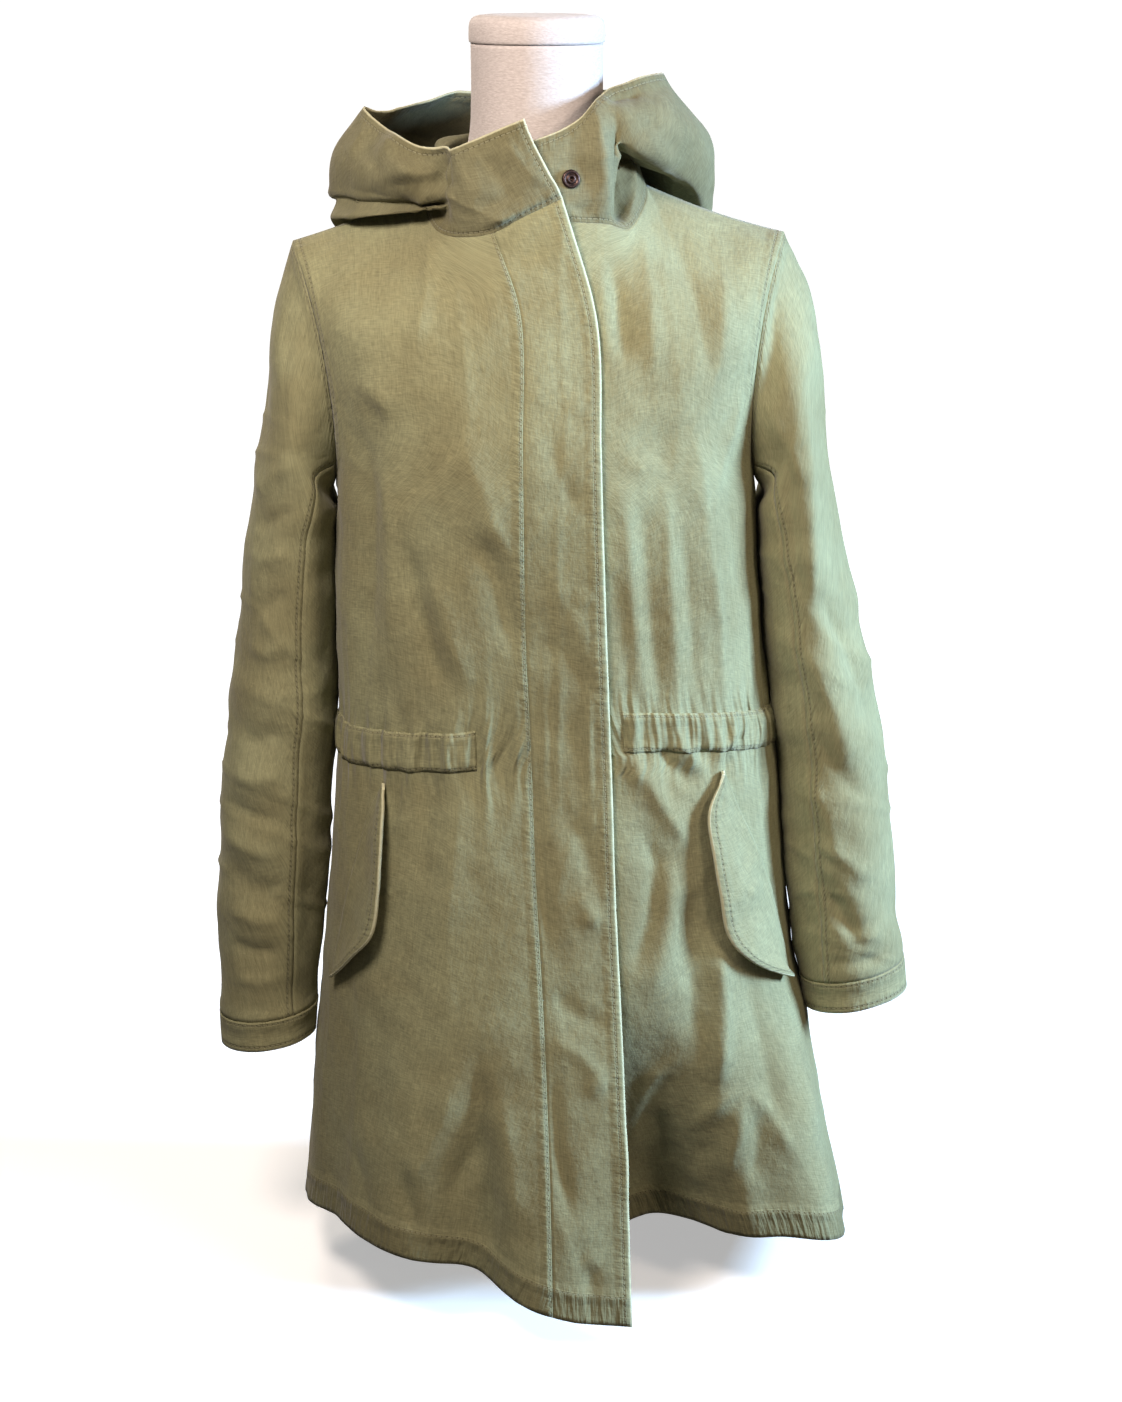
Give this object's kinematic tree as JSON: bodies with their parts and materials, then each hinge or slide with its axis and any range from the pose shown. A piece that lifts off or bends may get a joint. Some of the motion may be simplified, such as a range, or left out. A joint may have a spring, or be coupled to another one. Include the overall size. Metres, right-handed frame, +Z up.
{
  "type": "hooded field jacket on a limbless dress form",
  "caption": "Mid-thigh hooded canvas jacket with a fly front, gathered waist casing and slanted pocket flaps, on a limbless dress form.",
  "frame": {"origin": "on the floor, in the flat foot of the dress form and under the middle of its neck", "axes": "+Z up along the neck, -Y the way the jacket faces, +X towards the wearer's left"},
  "size_m": [0.594, 0.3871, 1.0695],
  "materials": {
    "canvas": "washed olive cotton canvas, matt",
    "form_cover": "off-white woven cover over a firm body, matt",
    "snap_metal": "dark antique, half dull"
  },
  "bodies": {
    "root": {"front_right": "canvas", "front_left": "canvas", "placket_right": "canvas", "back": "canvas", "hood_right": "canvas", "hood_left": "canvas", "sleeve_right_top": "canvas", "sleeve_right_under": "canvas", "cuff_right": "canvas", "sleeve_left_top": "canvas", "sleeve_left_under": "canvas", "cuff_left": "canvas", "waist_casing": "canvas", "pocket_flap_right": "canvas", "pocket_flap_left": "canvas", "snap_stud": "snap_metal", "form_torso": "form_cover", "form_neck_cap": "form_cover"}
  },
  "joints": []
}
